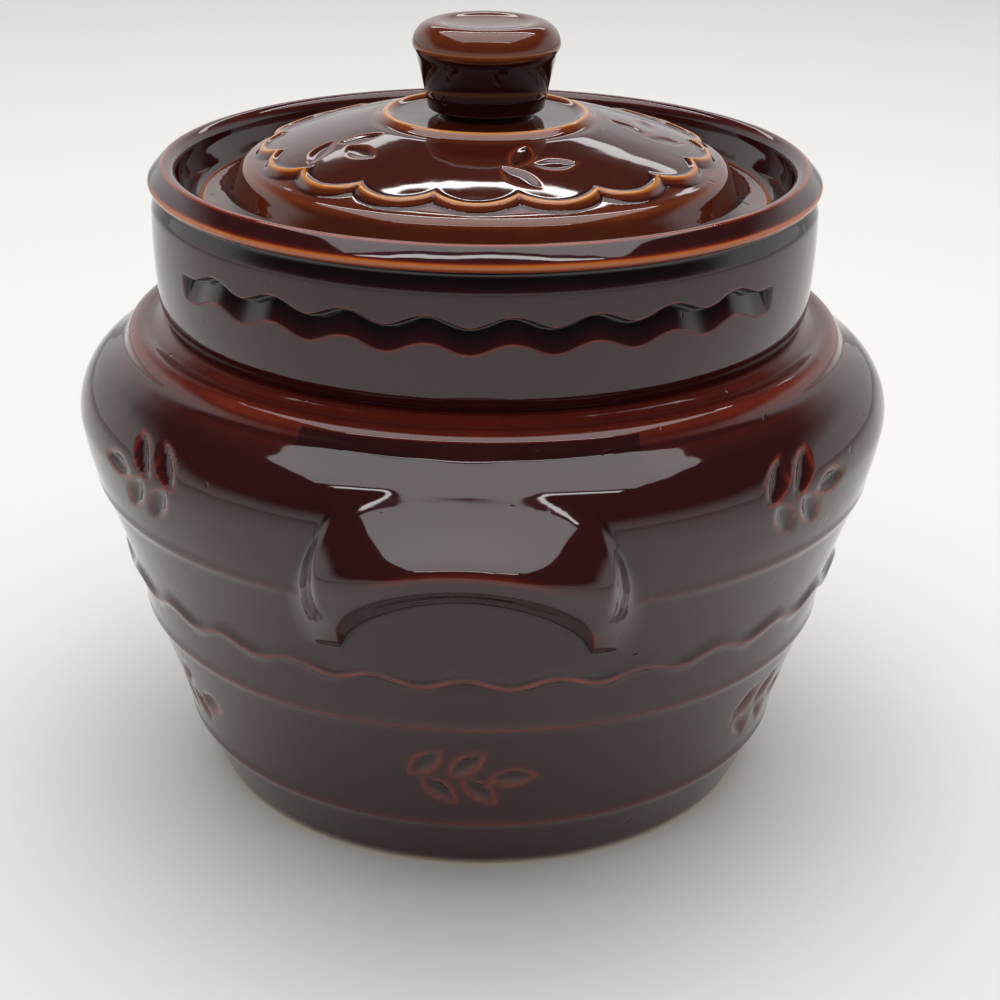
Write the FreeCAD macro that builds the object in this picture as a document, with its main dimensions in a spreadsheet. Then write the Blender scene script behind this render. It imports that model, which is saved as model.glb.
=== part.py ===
import FreeCAD, Part
import math
import os
import Sketcher

# Lidded stoneware bean pot. Millimetres, +Z up, origin at the middle of the foot's resting face.
# The front lug is centred on -Y and the rear lug on +Y.

doc = FreeCAD.newDocument("bean_pot")

sizes = {
    # pot, outside: heights are steps from the vertex below, insets are steps in from the belly
    "baseRadius": 70.0,
    "baseEase": 1.2,
    "footBandFlare": 6.6,
    "footBandHeight": 16.0,
    "lowerBandHeight": 30.8,
    "lowerRibInset": 13.6,
    "middleBandHeight": 14.2,
    "middleRibInset": 8.8,
    "upperBandHeight": 20.5,
    "upperRibInset": 3.4,
    "bandHollow": 0.6,
    "bellyRadius": 100.0,
    "bellyRise": 15.5,
    "bellyBulge": 0.4,
    "shoulderInset": 7.7,
    "shoulderRise": 13.2,
    "shoulderBulge": 2.1,
    "shoulderLedge": 4.1,
    "shoulderLedgeRise": 3.0,
    "ridgeWidth": 6.8,
    "ridgeRise": 3.6,
    "ridgeBulge": 2.5,
    "creaseWidth": 3.8,
    "creaseRise": 2.6,
    "neckStep": 1.6,
    "neckFootRise": 2.8,
    "neckFlare": 1.0,
    "neckHeight": 25.0,
    "neckBulge": 0.5,
    "coveDepth": 0.9,
    "coveRise": 1.8,
    "lipProud": 1.7,
    "lipRise": 3.6,
    "lipRoll": 3.6,
    # pot, inside and underneath
    "wall": 6.6,
    "floorTop": 9.5,
    "floorCorner": 7.0,
    "footRingWidth": 7.5,
    "footRingLean": 1.5,
    "footRecess": 2.5,
    "rimWall": 8.6,
    "galleryCorner": 1.5,
    "ledgeWidth": 8.1,
    "ledgeDepth": 11.4,
    "ledgeThickness": 2.8,
    "ledgeUnderside": 8.0,
    # wavy grooves pressed into the neck
    "grooveRise": 14.5,
    "grooveWave": 1.25,
    "groovePitch": 13.0,
    "grooveReach": 54.5,
    "grooveWidth": 6.0,
    "grooveDepth": 2.1,
    # lug handles
    "lugHalfSweep": 17.4,
    "lugOverhang": 13.6,
    "lugLipRound": 2.6,
    "lugLipDroop": 7.5,
    "lugLipPull": 2.6,
    "lugEndRound": 4.0,
    "lugArchDrop": 5.7,
    "lugCoveDrop": 13.0,
    "lugCoveHollow": 2.2,
    "lugTipDrop": 26.3,
    "lugTipProud": 0.6,
    "lugTopHollow": 0.9,
    "lugEdgeRound": 2.0,
    # lid
    "seatGap": 0.2,
    "lidPlay": 2.3,
    "flangeThickness": 3.4,
    "flangeEdgeRound": 1.5,
    "flangeWidth": 7.9,
    "flangeHollow": 0.5,
    "domeSideLean": 2.0,
    "domeSideRise": 4.2,
    "domeEdgeWidth": 3.2,
    "domeEdgeRise": 3.3,
    "domeEdgeBulge": 0.9,
    "domeRise": 10.3,
    "domeBulge": 0.75,
    "crownRadius": 22.4,
    "ringWidth": 2.8,
    "ringRise": 0.6,
    "lidWall": 5.5,
    "terraceRise": 1.3,
    "scallopCount": 17.0,
    "scallopInset": 1.6,
    "scallopRound": 13.5,
    # knob
    "knobNeckRadius": 10.4,
    "knobNeckHeight": 2.6,
    "knobFootProud": 3.5,
    "knobFootRound": 1.6,
    "knobFlare": 3.0,
    "knobTaperRise": 12.0,
    "knobRimProud": 0.7,
    "knobRimRise": 3.4,
    "knobCrestInset": 3.2,
    "knobCrestRise": 4.2,
    "knobDish": 1.5,
}

sheet = doc.addObject("Spreadsheet::Sheet", "Sizes")
for row, (name, number) in enumerate(sizes.items(), 1):
    sheet.set(f"A{row}", name)
    sheet.set(f"B{row}", str(number))
    sheet.setAlias(f"B{row}", name)
doc.recompute()


class Size:
    """A length as a number, with the sheet expression that gives the same number."""

    def __init__(self, number, text=None):
        self.number = float(number)
        self.text = text or repr(float(number))

    def join(self, other, sign, number):
        return Size(number, f"({self.text} {sign} {other.text})")

    def __add__(self, other):
        other = asSize(other)
        return self.join(other, "+", self.number + other.number)

    def __sub__(self, other):
        other = asSize(other)
        return self.join(other, "-", self.number - other.number)

    def __mul__(self, other):
        other = asSize(other)
        return self.join(other, "*", self.number * other.number)

    def __truediv__(self, other):
        other = asSize(other)
        return self.join(other, "/", self.number / other.number)

    def __neg__(self):
        return Size(-self.number, f"(-1 * {self.text})")


def asSize(value):
    return value if isinstance(value, Size) else Size(value)


class SheetSizes:
    """s.wall is the sheet's cell of that name."""

    def __getattr__(self, name):
        return Size(sheet.get(name), f"Sizes.{name}")


s = SheetSizes()
zero = Size(0.0, "0")
pointsPerWave = 6


def originPlane(body, role):
    return next(plane for plane in body.Origin.OriginFeatures if plane.Role == role)


def bulgeRadius(here, there, bulge):
    """Radius of the arc that leaves the chord from here to there by bulge at its middle."""
    across = there[0] - here[0]
    up = there[1] - here[1]
    return (across * across + up * up) / (bulge * 8) + bulge / 2


def addStretch(sketch, here, there):
    """One side of an outline. A vertex with a third value starts an arc that bulges by it, to the right."""
    start = FreeCAD.Vector(here[0].number, here[1].number, 0)
    end = FreeCAD.Vector(there[0].number, there[1].number, 0)
    if len(here) == 2:
        side = sketch.addGeometry(Part.LineSegment(start, end))
        return side, 1, 2
    turnsLeft = here[2].number > 0
    bulge = here[2] if turnsLeft else -here[2]
    radius = bulgeRadius(here, there, bulge)
    chord = end - start
    right = FreeCAD.Vector(chord.y, -chord.x, 0).normalize()
    toCentre = radius.number - bulge.number
    centre = (start + end) / 2 - right * toCentre * (1 if turnsLeft else -1)
    first, last = (start, end) if turnsLeft else (end, start)
    angles = [math.atan2(point.y - centre.y, point.x - centre.x) for point in (first, last)]
    circle = Part.Circle(centre, FreeCAD.Vector(0, 0, 1), radius.number)
    side = sketch.addGeometry(Part.ArcOfCircle(circle, *angles))
    holdSize(sketch, Sketcher.Constraint("Radius", side, radius.number), radius)
    return (side, 1, 2) if turnsLeft else (side, 2, 1)


def holdSize(sketch, constraint, size):
    index = sketch.addConstraint(constraint)
    sketch.setExpression(f"Constraints[{index}]", size.text)


def holdVertex(sketch, side, end, vertex):
    """Ties one end of a side to its place in the sheet's sizes."""
    for size, kind, axis in ((vertex[0], "DistanceX", -2), (vertex[1], "DistanceY", -1)):
        if size is zero:
            sketch.addConstraint(Sketcher.Constraint("PointOnObject", side, end, axis))
        else:
            holdSize(sketch, Sketcher.Constraint(kind, -1, 1, side, end, size.number), size)


def outlineSketch(body, role, name, outline):
    """A closed outline on one of the body's own origin planes."""
    sketch = body.newObject("Sketcher::SketchObject", name)
    sketch.AttachmentSupport = (originPlane(body, role), [""])
    sketch.MapMode = "FlatFace"
    drawOutline(sketch, outline)
    return sketch


def drawOutline(sketch, outline):
    sides = [addStretch(sketch, here, there) for here, there in zip(outline, outline[1:] + outline[:1])]
    for (side, first, last), (following, start, end) in zip(sides, sides[1:] + sides[:1]):
        sketch.addConstraint(Sketcher.Constraint("Coincident", side, last, following, start))
    for (side, first, last), vertex in zip(sides, outline):
        holdVertex(sketch, side, first, vertex)


def turned(name, role, outline):
    """A body turned about the pot's axis from an outline in (radius, height)."""
    body = doc.addObject("PartDesign::Body", name)
    sketch = outlineSketch(body, role, name + "_section", outline)
    turn = body.newObject("PartDesign::Revolution", name + "_turn")
    turn.Profile = sketch
    turn.ReferenceAxis = (sketch, ["V_Axis"])
    turn.Angle = 360
    sketch.Visibility = False
    return body


def boolean(kind, name, first, second):
    """Part::Cut, Part::Fuse or Part::Common of two objects."""
    result = doc.addObject(f"Part::{kind}", name)
    result.Base = first
    result.Tool = second
    return result


def codeShape(name, shape):
    feature = doc.addObject("Part::Feature", name)
    feature.Shape = shape
    return feature


def sweptTube(points, radius):
    """Round tube along a smooth line through the points, with round ends."""
    line = Part.BSplineCurve()
    line.interpolate(Points=points)
    start = line.value(line.FirstParameter)
    ahead = line.tangent(line.FirstParameter)[0]
    section = Part.Wire([Part.Circle(start, ahead, radius).toShape()])
    sweep = Part.BRepOffsetAPI.MakePipeShell(Part.Wire([line.toShape()]))
    sweep.setBiNormalMode(FreeCAD.Vector(0, 0, 1))
    sweep.add(section)
    sweep.build()
    sweep.makeSolid()
    ends = [Part.makeSphere(radius, points[0]), Part.makeSphere(radius, points[-1])]
    return sweep.shape().multiFuse(ends)


def onRound(radius, degrees, height):
    """A point at that angle round the pot, from -Y towards +X."""
    angle = math.radians(degrees)
    return FreeCAD.Vector(radius * math.sin(angle), -radius * math.cos(angle), height)


class PotPlaces:
    """Radii and heights on the pot that its pieces share, each worked out from the one below it."""

    def __init__(self):
        self.footBandRadius = s.baseRadius + s.footBandFlare
        self.lowerRibRadius = s.bellyRadius - s.lowerRibInset
        self.lowerRibHeight = s.footBandHeight + s.lowerBandHeight
        self.middleRibRadius = s.bellyRadius - s.middleRibInset
        self.middleRibHeight = self.lowerRibHeight + s.middleBandHeight
        self.upperRibRadius = s.bellyRadius - s.upperRibInset
        self.upperRibHeight = self.middleRibHeight + s.upperBandHeight
        self.bellyHeight = self.upperRibHeight + s.bellyRise
        self.shoulderRadius = s.bellyRadius - s.shoulderInset
        self.shoulderHeight = self.bellyHeight + s.shoulderRise
        self.ridgeFootRadius = self.shoulderRadius - s.shoulderLedge
        self.ridgeFootHeight = self.shoulderHeight + s.shoulderLedgeRise
        self.ridgeInnerRadius = self.ridgeFootRadius - s.ridgeWidth
        self.ridgeInnerHeight = self.ridgeFootHeight + s.ridgeRise
        self.creaseRadius = self.ridgeInnerRadius - s.creaseWidth
        self.creaseHeight = self.ridgeInnerHeight + s.creaseRise
        self.neckFootRadius = self.creaseRadius + s.neckStep
        self.neckFootHeight = self.creaseHeight + s.neckFootRise
        self.neckRadius = self.neckFootRadius + s.neckFlare
        self.neckTopHeight = self.neckFootHeight + s.neckHeight
        self.coveRadius = self.neckRadius - s.coveDepth
        self.coveHeight = self.neckTopHeight + s.coveRise
        self.lipRadius = self.coveRadius + s.lipProud
        self.lipHeight = self.coveHeight + s.lipRise
        self.rimHeight = self.lipHeight + s.lipRoll
        self.galleryRadius = self.neckRadius - s.rimWall
        self.ledgeRadius = self.galleryRadius - s.ledgeWidth
        self.ledgeHeight = self.rimHeight - s.ledgeDepth


pot = PotPlaces()


def potSection():
    wall = s.wall
    foot = s.baseRadius - s.baseEase
    ringInside = foot - s.footRingWidth
    rollBulge = s.lipRoll * (1 - math.sqrt(0.5))
    outside = [
        (zero, s.footRecess),
        (ringInside - s.footRingLean, s.footRecess),
        (ringInside, zero),
        (foot, zero, s.baseEase * (1 - math.sqrt(0.5))),
        (s.baseRadius, s.baseEase),
        (pot.footBandRadius, s.footBandHeight, -s.bandHollow),
        (pot.lowerRibRadius, pot.lowerRibHeight, -s.bandHollow),
        (pot.middleRibRadius, pot.middleRibHeight, -s.bandHollow),
        (pot.upperRibRadius, pot.upperRibHeight, s.bellyBulge),
        (s.bellyRadius, pot.bellyHeight, s.shoulderBulge),
        (pot.shoulderRadius, pot.shoulderHeight),
        (pot.ridgeFootRadius, pot.ridgeFootHeight, s.ridgeBulge),
        (pot.ridgeInnerRadius, pot.ridgeInnerHeight),
        (pot.creaseRadius, pot.creaseHeight),
        (pot.neckFootRadius, pot.neckFootHeight, s.neckBulge),
        (pot.neckRadius, pot.neckTopHeight),
        (pot.coveRadius, pot.coveHeight),
        (pot.lipRadius, pot.lipHeight, rollBulge),
        (pot.lipRadius - s.lipRoll, pot.rimHeight, rollBulge),
        (pot.lipRadius - s.lipRoll * 2, pot.lipHeight),
    ]
    throat = pot.neckRadius - wall
    ledgeBottom = pot.ledgeHeight - s.ledgeThickness
    floorRadius = pot.footBandRadius - wall
    inside = [
        (pot.galleryRadius, pot.ledgeHeight + s.galleryCorner),
        (pot.galleryRadius - s.galleryCorner, pot.ledgeHeight),
        (pot.ledgeRadius, pot.ledgeHeight),
        (pot.ledgeRadius, ledgeBottom),
        (throat, ledgeBottom - s.ledgeUnderside),
        (throat, pot.neckFootHeight),
        (pot.creaseRadius - wall * 0.85, pot.creaseHeight - wall * 0.5, -s.shoulderBulge * 0.7),
        (pot.shoulderRadius - wall, pot.shoulderHeight - wall * 0.7, -s.shoulderBulge * 0.6),
        (s.bellyRadius - wall, pot.bellyHeight - wall * 0.3),
        (pot.upperRibRadius - wall, pot.upperRibHeight),
        (pot.lowerRibRadius - wall, pot.lowerRibHeight),
        (floorRadius, s.floorTop + s.floorCorner, -s.floorCorner * 0.3),
        (floorRadius - s.floorCorner, s.floorTop),
        (zero, s.floorTop),
    ]
    return outside + inside


def neckGroove():
    """Cutter for one wavy groove. It stands out of the neck's wall by what its width asks."""
    halfWidth = s.grooveWidth.number / 2
    depth = s.grooveDepth.number
    radius = (halfWidth ** 2 + depth ** 2) / (2 * depth)
    pitch = s.groovePitch.number
    middle = (pot.neckFootHeight + s.grooveRise).number
    steps = int(round(s.grooveReach.number / pitch * pointsPerWave))
    points = []
    for step in range(-steps, steps + 1):
        degrees = s.grooveReach.number * step / steps
        height = middle - s.grooveWave.number * math.cos(2 * math.pi * degrees / pitch)
        points.append(onRound(pot.neckRadius.number + radius - depth, degrees, height))
    return sweptTube(points, radius)


# From a lug's middle to its end: share of the half sweep, of the drop from arch to tip, and of the end's rounding
lugRibs = [
    (0.0, 0.0, 0.0),
    (0.3, 0.05, 0.0),
    (0.58, 0.2, 0.0),
    (0.78, 0.43, 0.02),
    (0.88, 0.66, 0.1),
    (0.94, 0.91, 0.3),
    (0.97, 1.0, 0.5),
    (1.0, 0.9, 1.0),
]


def lugRibOutline(along, drop, rounding):
    """Upright section of a lug: coved underside, front that leans back, rolled lip and hollow top."""
    lipRound = s.lugLipRound
    bite = s.wall * 0.4
    lipHeight = pot.bellyHeight - s.lugLipDroop * along ** 2
    lipRadius = s.bellyRadius + s.lugOverhang - s.lugLipPull * along ** 2 - s.lugEndRound * rounding
    archHeight = pot.bellyHeight - s.lugArchDrop
    tipHeight = pot.bellyHeight - s.lugTipDrop
    tipRadius = pot.upperRibRadius + s.lugTipProud
    bottom = archHeight - (archHeight - tipHeight) * drop
    frontRadius = lipRadius - lipRound * 0.4
    lean = (frontRadius - tipRadius) / (lipHeight - lipRound - tipHeight)
    wallLean = (s.bellyRadius - pot.middleRibRadius) / (pot.bellyHeight - pot.middleRibHeight)
    coveFoot = bottom - s.lugCoveDrop * (1 - drop)
    wallRadius = s.bellyRadius - wallLean * (pot.bellyHeight - coveFoot)
    edgeRadius = tipRadius + lean * (bottom - tipHeight)
    edge = s.lugEdgeRound
    return [
        (wallRadius - bite, coveFoot, -s.lugCoveHollow * (1.1 - drop)),
        (edgeRadius - edge * 0.7, bottom, edge * 0.3),
        (edgeRadius + lean * edge, bottom + edge),
        (frontRadius, lipHeight - lipRound, lipRound * 0.25),
        (lipRadius, lipHeight, lipRound * 0.3),
        (lipRadius - lipRound, lipHeight + lipRound * 0.95, -s.lugTopHollow),
        (pot.shoulderRadius + bite * 0.5, pot.shoulderHeight - bite * 0.9),
        (pot.shoulderRadius - bite, pot.shoulderHeight),
        (s.bellyRadius - bite, pot.bellyHeight),
    ]


def lugBlank():
    """A horseshoe of sections fanned round the pot's axis, from one drooping tip over the arch to the other."""
    mirrorRibs = [(-along, drop, rounding) for along, drop, rounding in reversed(lugRibs[1:])]
    upright = FreeCAD.Rotation(FreeCAD.Vector(1, 0, 0), 90)
    ribs = []
    for number, (along, drop, rounding) in enumerate(mirrorRibs + lugRibs, 1):
        rib = doc.addObject("Sketcher::SketchObject", f"lug_rib_{number}")
        fan = FreeCAD.Rotation(FreeCAD.Vector(0, 0, 1), s.lugHalfSweep.number * along - 90)
        rib.Placement = FreeCAD.Placement(FreeCAD.Vector(), fan * upright)
        drawOutline(rib, lugRibOutline(along, drop, rounding))
        ribs.append(rib)
    loft = doc.addObject("Part::Loft", "lug_form")
    loft.Sections = ribs
    loft.Solid = True
    loft.MaxDegree = 3
    return loft


class LidPlaces:
    """Radii and heights on the lid that its pieces share. It sits on the pot's ledge with a seat gap."""

    def __init__(self):
        self.underside = pot.ledgeHeight + s.seatGap
        self.flangeRadius = pot.galleryRadius - s.lidPlay
        self.flangeTop = self.underside + s.flangeThickness
        self.domeFootRadius = self.flangeRadius - s.flangeWidth
        self.domeSideRadius = self.domeFootRadius - s.domeSideLean
        self.domeSideHeight = self.flangeTop + s.domeSideRise
        self.domeEdgeRadius = self.domeSideRadius - s.domeEdgeWidth
        self.domeEdgeHeight = self.domeSideHeight + s.domeEdgeRise
        self.crownHeight = self.domeEdgeHeight + s.domeRise
        self.ringOutside = s.crownRadius + s.ringWidth


cover = LidPlaces()


def lidSection():
    ease = s.flangeEdgeRound
    easeBulge = ease * (1 - math.sqrt(0.5))
    hollowRadius = cover.domeSideRadius - s.lidWall
    hollowTop = cover.crownHeight - s.lidWall
    return [
        (zero, hollowTop),
        (s.crownRadius, hollowTop, s.domeBulge),
        (hollowRadius - s.lidWall * 0.4, cover.domeSideHeight - s.lidWall * 0.4, s.domeEdgeBulge),
        (hollowRadius, cover.underside),
        (cover.flangeRadius - ease, cover.underside, easeBulge),
        (cover.flangeRadius, cover.underside + ease, easeBulge),
        (cover.flangeRadius - ease, cover.flangeTop, -s.flangeHollow),
        (cover.domeFootRadius, cover.flangeTop),
        (cover.domeSideRadius, cover.domeSideHeight, s.domeEdgeBulge),
        (cover.domeEdgeRadius, cover.domeEdgeHeight, s.domeBulge),
        (cover.ringOutside, cover.crownHeight - s.ringRise * 0.7, s.ringRise),
        (s.crownRadius, cover.crownHeight),
        (zero, cover.crownHeight),
    ]


def terraceSection():
    """Skin of even thickness over the dome, from which the scalloped terrace is kept."""
    rise = s.terraceRise
    return [
        (zero, cover.crownHeight - rise),
        (s.crownRadius, cover.crownHeight - rise, s.domeBulge),
        (cover.domeEdgeRadius, cover.domeEdgeHeight - rise),
        (cover.domeEdgeRadius, cover.domeEdgeHeight + rise, -s.domeBulge),
        (s.crownRadius + s.ringWidth * 0.4, cover.crownHeight),
        (zero, cover.crownHeight),
    ]


def scallopPrism():
    """Upright prism whose outline is a ring of round lobes that meet in cusps."""
    body = doc.addObject("PartDesign::Body", "scallop_prism")
    floor = cover.domeEdgeHeight - s.terraceRise * 2
    lobeCentre = cover.domeEdgeRadius - s.scallopInset - s.scallopRound
    discRadius = lobeCentre + s.scallopRound * 0.5
    disc = body.newObject("Sketcher::SketchObject", "scallop_disc")
    lobe = body.newObject("Sketcher::SketchObject", "scallop_lobe")
    pads = []
    for sketch, radius, centre in ((disc, discRadius, zero), (lobe, s.scallopRound, -lobeCentre)):
        sketch.AttachmentSupport = (originPlane(body, "XY_Plane"), [""])
        sketch.MapMode = "FlatFace"
        sketch.setExpression("AttachmentOffset.Base.z", floor.text)
        middle = FreeCAD.Vector(0, centre.number, 0)
        ring = sketch.addGeometry(Part.Circle(middle, FreeCAD.Vector(0, 0, 1), radius.number))
        holdSize(sketch, Sketcher.Constraint("Radius", ring, radius.number), radius)
        holdVertex(sketch, ring, 3, (zero, centre))
        pad = body.newObject("PartDesign::Pad", sketch.Name + "_pad")
        pad.Profile = sketch
        pad.setExpression("Length", (cover.crownHeight - floor + s.terraceRise).text)
        pads.append(pad)
    doc.recompute()
    lobes = body.newObject("PartDesign::PolarPattern", "scallop_lobes")
    lobes.Originals = [pads[1]]
    lobes.Axis = (disc, ["N_Axis"])
    lobes.Angle = 360
    lobes.setExpression("Occurrences", s.scallopCount.text)
    body.Tip = lobes
    return body


def knobSection():
    seat = cover.crownHeight
    footBottom = seat + s.knobNeckHeight
    footRadius = s.knobNeckRadius + s.knobFootProud
    footTop = footBottom + s.knobFootRound * 1.3
    taperRadius = footRadius + s.knobFlare
    taperTop = footBottom + s.knobTaperRise
    rimRadius = taperRadius + s.knobRimProud
    rimHeight = taperTop + s.knobRimRise
    crestRadius = rimRadius - s.knobCrestInset
    crestHeight = rimHeight + s.knobCrestRise
    return [
        (zero, seat),
        (s.knobNeckRadius, seat),
        (s.knobNeckRadius, footBottom, -s.knobFootRound * 0.3),
        (footRadius - s.knobFootRound * 0.3, footBottom + s.knobFootRound * 0.4, s.knobFootRound * 0.25),
        (footRadius, footTop),
        (taperRadius, taperTop, s.knobRimProud * 0.3),
        (rimRadius, rimHeight, s.knobCrestInset * 0.35),
        (crestRadius, crestHeight, s.knobDish * 0.15),
        (crestRadius * 0.75, crestHeight - s.knobDish * 0.4, -s.knobDish * 0.2),
        (zero, crestHeight - s.knobDish),
    ]


def mirrored(name, source):
    """The same shape on the rear half, behind the XZ plane."""
    mirror = doc.addObject("Part::Mirroring", name)
    mirror.Source = source
    mirror.Normal = FreeCAD.Vector(0, 1, 0)
    return mirror


# The pot is thrown in one piece, with a wavy groove pressed into the neck at the front and the rear.
potBlank = turned("pot_blank", "XZ_Plane", potSection())
frontGroove = codeShape("front_groove", neckGroove())
rearGroove = mirrored("rear_groove", frontGroove)
frontCut = boolean("Cut", "pot_front_cut", potBlank, frontGroove)
potBody = boolean("Cut", "pot_body", frontCut, rearGroove)

# Each lug is pressed by itself and luted face to face onto the finished wall.
lugForm = lugBlank()
frontLug = boolean("Cut", "front_lug", lugForm, potBlank)
rearLug = mirrored("rear_lug", frontLug)

# The lid is turned, and its raised terrace is trimmed into scallops.
lidBlank = turned("lid_blank", "XZ_Plane", lidSection())
terraceSkin = turned("terrace_skin", "XZ_Plane", terraceSection())
terrace = boolean("Common", "terrace", terraceSkin, scallopPrism())
lid = boolean("Fuse", "lid", lidBlank, terrace)
lidKnob = turned("lid_knob", "XZ_Plane", knobSection())

pieces = [potBody, frontLug, rearLug, lid, lidKnob]
doc.recompute()

for feature in doc.Objects:
    faults = {"Invalid", "Error"} & set(feature.State)
    if faults:
        raise RuntimeError(f"{feature.Name} could not be made: {sorted(faults)}")
for piece in pieces:
    if piece.Shape.isNull() or not piece.Shape.isValid() or len(piece.Shape.Solids) != 1:
        raise RuntimeError(f"{piece.Label} is not one valid solid")

os.makedirs("parts", exist_ok=True)
for piece in pieces:
    piece.Shape.exportStep(f"parts/{piece.Label}.step")
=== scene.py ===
import math

import bpy
import numpy as np
from mathutils import Matrix, Vector


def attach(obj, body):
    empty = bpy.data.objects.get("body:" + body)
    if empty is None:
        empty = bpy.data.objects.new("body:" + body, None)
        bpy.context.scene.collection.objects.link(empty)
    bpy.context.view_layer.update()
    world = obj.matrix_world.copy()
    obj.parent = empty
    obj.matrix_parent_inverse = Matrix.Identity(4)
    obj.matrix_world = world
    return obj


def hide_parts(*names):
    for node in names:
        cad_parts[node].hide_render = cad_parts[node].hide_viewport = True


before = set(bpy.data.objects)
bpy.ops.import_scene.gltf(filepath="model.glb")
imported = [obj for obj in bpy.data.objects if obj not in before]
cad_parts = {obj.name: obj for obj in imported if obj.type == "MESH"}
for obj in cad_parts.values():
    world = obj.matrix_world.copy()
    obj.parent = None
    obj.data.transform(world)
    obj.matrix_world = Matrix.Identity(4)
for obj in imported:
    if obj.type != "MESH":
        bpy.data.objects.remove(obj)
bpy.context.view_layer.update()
print("frame loaded:", ", ".join(sorted(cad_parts)))

# Sizes are in millimetres, and the stage's in metres, with +Z up the pot's axis and the front lug on -Y.
mm = 0.001


# The camera stands in front, above the rim, and looks down at the pot.
cameraSetup = {
    "lens": 72.0,
    "sensor": 36.0,
    "distance": 475.3,
    "height": 272.4,
    "tiltDown": 0.4108,
    "pan": 0.0095,
    "roll": 0.0126,
    "roundThePot": 2.2,
}


def placeCamera(setup):
    data = bpy.data.cameras.new("camera")
    data.lens = setup["lens"]
    data.sensor_width = setup["sensor"]
    data.clip_start = 0.01
    data.dof.use_dof = False
    camera = bpy.data.objects.new("camera", data)
    bpy.context.scene.collection.objects.link(camera)
    turn = Matrix.Rotation(math.radians(setup["roundThePot"]), 3, "Z")
    tilt, pan, roll = setup["tiltDown"], setup["pan"], setup["roll"]
    ahead = turn @ Vector((math.sin(pan) * math.cos(tilt), math.cos(pan) * math.cos(tilt), -math.sin(tilt)))
    right = turn @ Vector((math.cos(pan), -math.sin(pan), 0.0))
    up = right.cross(ahead)
    across = right * math.cos(roll) + up * math.sin(roll)
    upright = up * math.cos(roll) - right * math.sin(roll)
    stand = turn @ Vector((0.0, -setup["distance"], setup["height"])) * mm
    axes = Matrix((across, upright, -ahead)).transposed()
    camera.matrix_world = Matrix.Translation(stand) @ axes.to_4x4()
    bpy.context.scene.camera = camera


placeCamera(cameraSetup)
print("camera placed")


# Outlines. A corner is (radius, height) or (radius, height, bulge): the stretch that leaves it swells by its
# bulge to the right of the way it runs.
def traced(corners, step=0.3):
    points = []
    for here, there in zip(corners, corners[1:]):
        start, end = np.array(here[:2], float), np.array(there[:2], float)
        run = end - start
        length = math.hypot(*run)
        bulge = here[2] if len(here) == 3 else 0.0
        share = np.linspace(0, 1, max(2, int(length / step)), endpoint=False)[:, None]
        right = np.array((run[1], -run[0])) / length
        points.append(start + run * share + right * bulge * 4 * share * (1 - share))
    points.append(np.array([corners[-1][:2]], float))
    return np.vstack(points)


def evenly(points, step):
    travel = np.concatenate(([0.0], np.cumsum(np.hypot(*np.diff(points, axis=0).T))))
    stops = np.linspace(0, travel[-1], max(2, int(round(travel[-1] / step)) + 1))
    return np.column_stack([np.interp(stops, travel, points[:, k]) for k in (0, 1)])


# Softens every corner of an outline as glaze does, and keeps its two ends.
def eased(points, spread, step=0.25):
    points = evenly(points, step)
    reach = int(3 * spread / step)
    kernel = np.exp(-0.5 * (np.arange(-reach, reach + 1) * step / spread) ** 2)
    kernel /= kernel.sum()
    head = 2 * points[0] - points[reach:0:-1]
    tail = 2 * points[-1] - points[-2:-reach - 2:-1]
    padded = np.vstack((head, points, tail))
    return np.column_stack([np.convolve(padded[:, k], kernel, "valid") for k in (0, 1)])


# That many rows along an outline, closer together where it bends and near the given heights.
def rowsAlong(points, count, pull, near=(), nearPull=1.4, nearReach=2.4, window=9):
    run = np.diff(points, axis=0)
    length = np.hypot(*run.T)
    heading = np.unwrap(np.arctan2(run[:, 1], run[:, 0]))
    bend = np.abs(np.gradient(heading))
    bend = np.convolve(np.pad(bend, window // 2, mode="edge"), np.ones(window) / window, "valid")
    level = (points[1:, 1] + points[:-1, 1]) / 2
    crowd = 1 + nearPull * sum(np.exp(-((level - height) / nearReach) ** 2) for height in near)
    travel = np.concatenate(([0.0], np.cumsum(length * crowd + pull * bend)))
    stops = np.linspace(0, travel[-1], count)
    return np.column_stack([np.interp(stops, travel, points[:, k]) for k in (0, 1)])


# Rows along an outline whose stretches are given as (where it starts, how many rows).
def rowsByStretch(outline, stretches, pull=0.5):
    starts = [int(np.argmin(np.hypot(*(outline - place).T))) for place, count in stretches]
    ends = starts[1:] + [len(outline) - 1]
    runs = [rowsAlong(outline[here:there + 1], count + 1, pull)[:-1]
            for here, there, (place, count) in zip(starts, ends, stretches)]
    return np.vstack(runs + [outline[-1:]])


def firstAbove(points, height):
    return int(np.argmax(points[:, 1] >= height))


# Turned meshes. Rows run along the outline, columns round the axis from -Y towards +X.
def turnedGrid(rows, angles):
    radius, height = rows[:, :1], rows[:, 1:]
    return np.stack((radius * np.sin(angles), -radius * np.cos(angles), height * np.ones_like(angles)), axis=-1)


def evenAngles(count):
    return np.arange(count) * (2 * math.pi / count)


# Faces between the rows of a grid. A grid that is not looped has its first and last rows drawn to a pole.
def gridFaces(rowCount, columnCount, looped):
    rows = np.arange(rowCount if looped else rowCount - 1)[:, None]
    columns = np.arange(columnCount)[None, :]
    above = (rows + 1) % rowCount
    beside = (columns + 1) % columnCount
    quads = np.stack((rows * columnCount + columns, rows * columnCount + beside,
                      above * columnCount + beside, above * columnCount + columns), axis=-1)
    return quads.reshape(-1, 4)


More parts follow.
